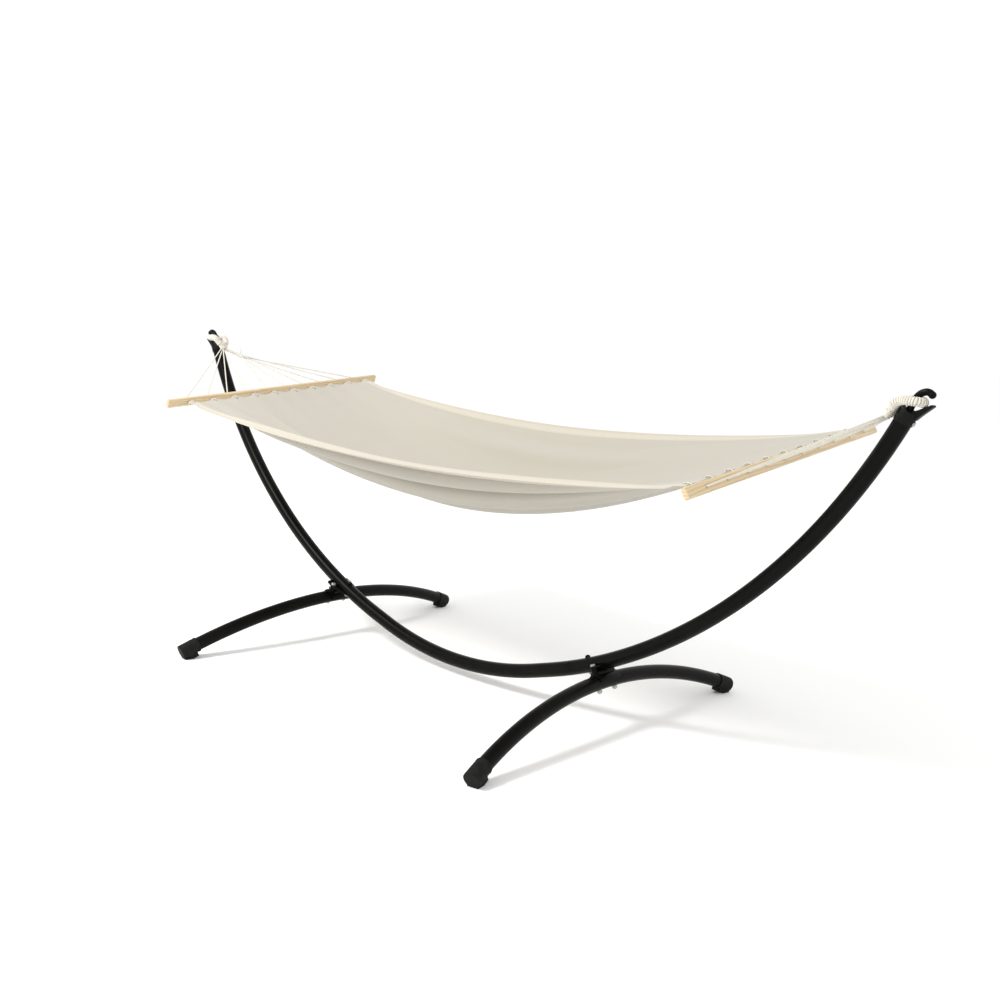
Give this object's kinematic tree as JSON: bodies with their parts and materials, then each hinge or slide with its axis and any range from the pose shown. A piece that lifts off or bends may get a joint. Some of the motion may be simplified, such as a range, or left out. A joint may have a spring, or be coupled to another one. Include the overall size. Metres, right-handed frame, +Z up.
{
  "type": "hammock on stand",
  "caption": "Canvas hammock with wooden spreader bars and fanned cords, hung between the hooks of a curved black steel stand on arched feet with rubber ends.",
  "frame": {"origin": "on the floor at the middle of the stand", "axes": "+X along the stand, +Y across it, +Z up"},
  "size_m": [2.7782, 1.1664, 1.0007],
  "materials": {
    "black_paint": "satin black powder coat",
    "zinc_steel": "zinc plated",
    "black_plastic": "moulded, slightly grained",
    "black_rubber": "matte",
    "pine": "clear lacquered pine",
    "cotton_rope": "natural twisted cotton",
    "canvas": "natural plain-woven cotton canvas"
  },
  "bodies": {
    "stand": {"arc_tube_left": "black_paint", "arc_tube_middle": "black_paint", "arc_tube_right": "black_paint", "foot_arch_left": "black_paint", "foot_arch_right": "black_paint", "hook_bolt_left": "zinc_steel", "hook_bolt_right": "zinc_steel", "hook_cap_left": "black_plastic", "hook_cap_right": "black_plastic", "hook_left": "black_paint", "hook_right": "black_paint", "joint_bolt_left": "zinc_steel", "joint_bolt_right": "zinc_steel", "joint_nut_left": "black_plastic", "joint_nut_right": "black_plastic", "joint_sleeve_left": "zinc_steel", "joint_sleeve_right": "zinc_steel", "rope_binding_left": "cotton_rope", "rope_binding_right": "cotton_rope", "rope_loop_left": "cotton_rope", "rope_loop_right": "cotton_rope", "rubber_foot_left_far": "black_rubber", "rubber_foot_left_near": "black_rubber", "rubber_foot_right_far": "black_rubber", "rubber_foot_right_near": "black_rubber", "saddle_bolt_left_far": "zinc_steel", "saddle_bolt_left_near": "zinc_steel", "saddle_bolt_right_far": "zinc_steel", "saddle_bolt_right_near": "zinc_steel", "saddle_left": "black_paint", "saddle_nut_left_far": "zinc_steel", "saddle_nut_left_near": "zinc_steel", "saddle_nut_right_far": "zinc_steel", "saddle_nut_right_near": "zinc_steel", "saddle_right": "black_paint"},
    "hammock": {"cloth_bed": "canvas", "cord_gather_left": "cotton_rope", "cord_left_1": "cotton_rope", "cord_left_10": "cotton_rope", "cord_left_2": "cotton_rope", "cord_left_3": "cotton_rope", "cord_left_4": "cotton_rope", "cord_left_5": "cotton_rope", "cord_left_6": "cotton_rope", "cord_left_7": "cotton_rope", "cord_left_8": "cotton_rope", "cord_left_9": "cotton_rope", "cord_right_1": "cotton_rope", "cord_right_10": "cotton_rope", "cord_right_2": "cotton_rope", "cord_right_3": "cotton_rope", "cord_right_4": "cotton_rope", "cord_right_5": "cotton_rope", "cord_right_6": "cotton_rope", "cord_right_7": "cotton_rope", "cord_right_8": "cotton_rope", "cord_right_9": "cotton_rope", "spreader_bar_left": "pine", "spreader_bar_right": "pine"}
  },
  "joints": [
    {"name": "hammock_swing", "type": "hinge", "parent": "stand", "child": "hammock", "pos_m": [0, 0, 0.93212], "axis": [1, 0, 0], "range_deg": [-35, 35]}
  ]
}
